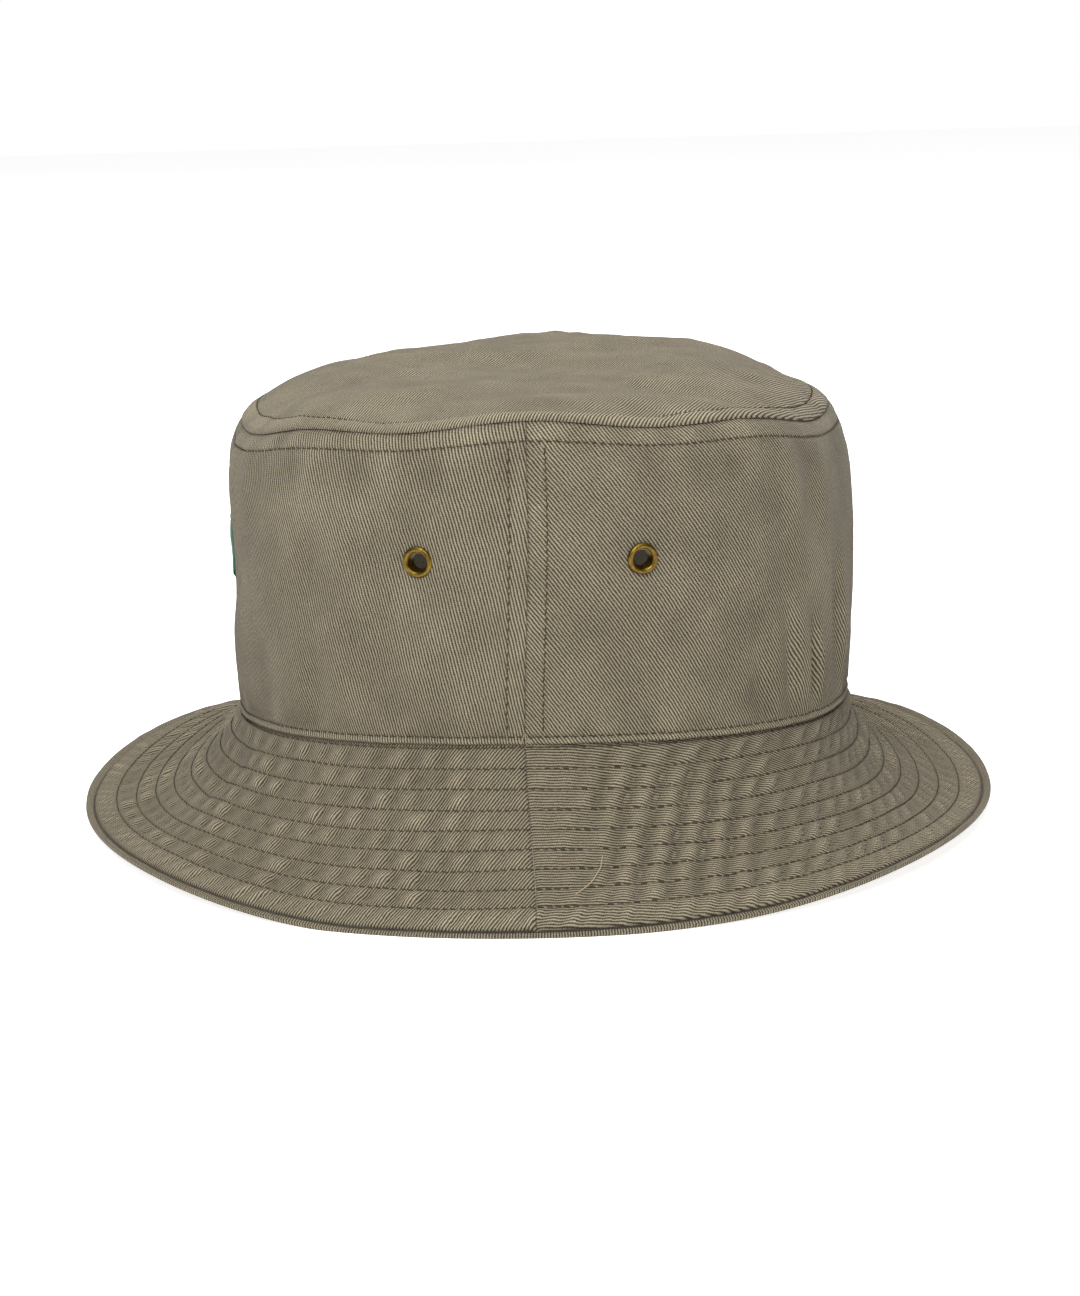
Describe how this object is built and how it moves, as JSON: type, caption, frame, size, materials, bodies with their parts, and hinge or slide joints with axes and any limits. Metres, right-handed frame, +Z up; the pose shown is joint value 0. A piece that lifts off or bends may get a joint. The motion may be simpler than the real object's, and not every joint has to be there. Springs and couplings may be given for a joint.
{
  "type": "bucket hat",
  "caption": "Soft cotton twill bucket hat with an oval domed crown, ventilation eyelets in the sides, a stitched sloping brim, an inner sweatband and a hanging care label.",
  "frame": {"origin": "centre of the hat's box on the surface that it stands on", "axes": "+Z up, -Y towards the front of the hat, +X towards the wearer's left"},
  "size_m": [0.2712, 0.2962, 0.1505],
  "materials": {
    "twill": "washed cotton twill, khaki olive, matt",
    "lining": "plain weave cotton band and tape, matt",
    "stiffener": "woven interlining, matt",
    "thread": "polyester sewing thread, dull",
    "brass": "antique brass, satin",
    "embroidery": "satin stitch thread, slight sheen",
    "label": "plain woven label, blank"
  },
  "bodies": {
    "hat": {"crown_tip": "twill", "side_panel_front": "twill", "side_panel_back": "twill", "brim_upper_front": "twill", "brim_upper_back": "twill", "brim_under_front": "twill", "brim_under_back": "twill", "brim_interlining_front": "stiffener", "brim_interlining_back": "stiffener", "sweatband": "lining", "tip_seam_tape": "lining", "side_seam_tape_left": "lining", "side_seam_tape_right": "lining", "sweatband_topstitch": "thread", "crown_base_topstitch": "thread", "tip_edge_topstitch": "thread", "tip_topstitch": "thread", "brim_stitch_row_1": "thread", "brim_stitch_row_2": "thread", "brim_stitch_row_3": "thread", "brim_stitch_row_4": "thread", "brim_stitch_row_5": "thread", "brim_stitch_row_6": "thread", "brim_stitch_row_7": "thread", "brim_stitch_row_8": "thread", "brim_stitch_row_9": "thread", "left_seam_topstitch_front": "thread", "left_seam_topstitch_back": "thread", "right_seam_topstitch_front": "thread", "right_seam_topstitch_back": "thread", "eyelet_left_front": "brass", "eyelet_washer_left_front": "brass", "eyelet_left_back": "brass", "eyelet_washer_left_back": "brass", "eyelet_right_front": "brass", "eyelet_washer_right_front": "brass", "eyelet_right_back": "brass", "eyelet_washer_right_back": "brass", "front_embroidery": "embroidery", "size_label": "label"},
    "care_label": {"care_label": "label"}
  },
  "joints": [
    {"name": "care_label_hinge", "type": "hinge", "parent": "hat", "child": "care_label", "pos_m": [0.08975, 0.0027, 0.077], "axis": [0, 1, 0], "range_deg": [0, 150]}
  ]
}
